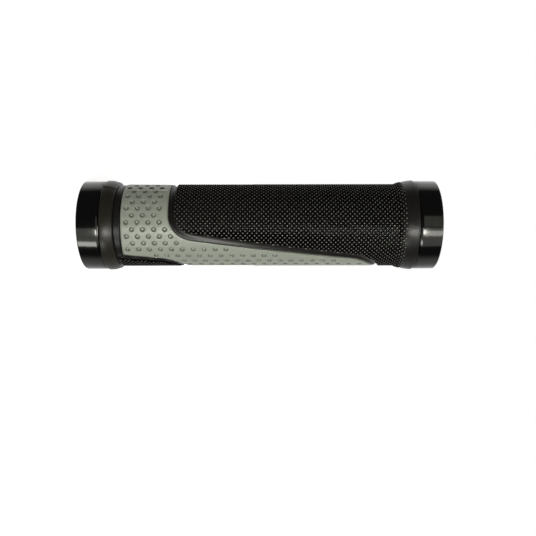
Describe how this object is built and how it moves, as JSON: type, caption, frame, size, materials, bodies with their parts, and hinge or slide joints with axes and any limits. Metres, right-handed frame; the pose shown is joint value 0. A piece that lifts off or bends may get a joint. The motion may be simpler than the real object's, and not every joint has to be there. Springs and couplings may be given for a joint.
{
  "type": "bicycle handlebar grip",
  "caption": "Clamp-on bicycle handlebar grip: knurled black rubber with a dimpled grey inlay on a hard sleeve, held by a black clamp ring at each end.",
  "frame": {"origin": "centre of the end face of the clamp ring beside the grey band, which the grip stands on", "axes": "+Z along the grip's axis towards the flared end; +X towards the set screws' side, with the screws 5 degrees past it; -Y towards the side the picture shows"},
  "size_m": [0.0336, 0.0336, 0.13],
  "materials": {
    "sleeve_nylon": "matt black moulded nylon",
    "black_rubber": "satin black rubber, finely knurled on the body and smooth on the flange and flare",
    "grey_rubber": "matt grey rubber with round dimples",
    "anodised_ring": "glossy black anodised, turned, with bright chamfers",
    "screw_steel": "black oxide"
  },
  "bodies": {
    "root": {"inner_sleeve": "sleeve_nylon", "grip_rubber": "black_rubber", "grey_pad": "grey_rubber", "clamp_ring_band_end": "anodised_ring", "clamp_ring_flare_end": "anodised_ring", "set_screw_band_end": "screw_steel", "set_screw_flare_end": "screw_steel"}
  },
  "joints": []
}
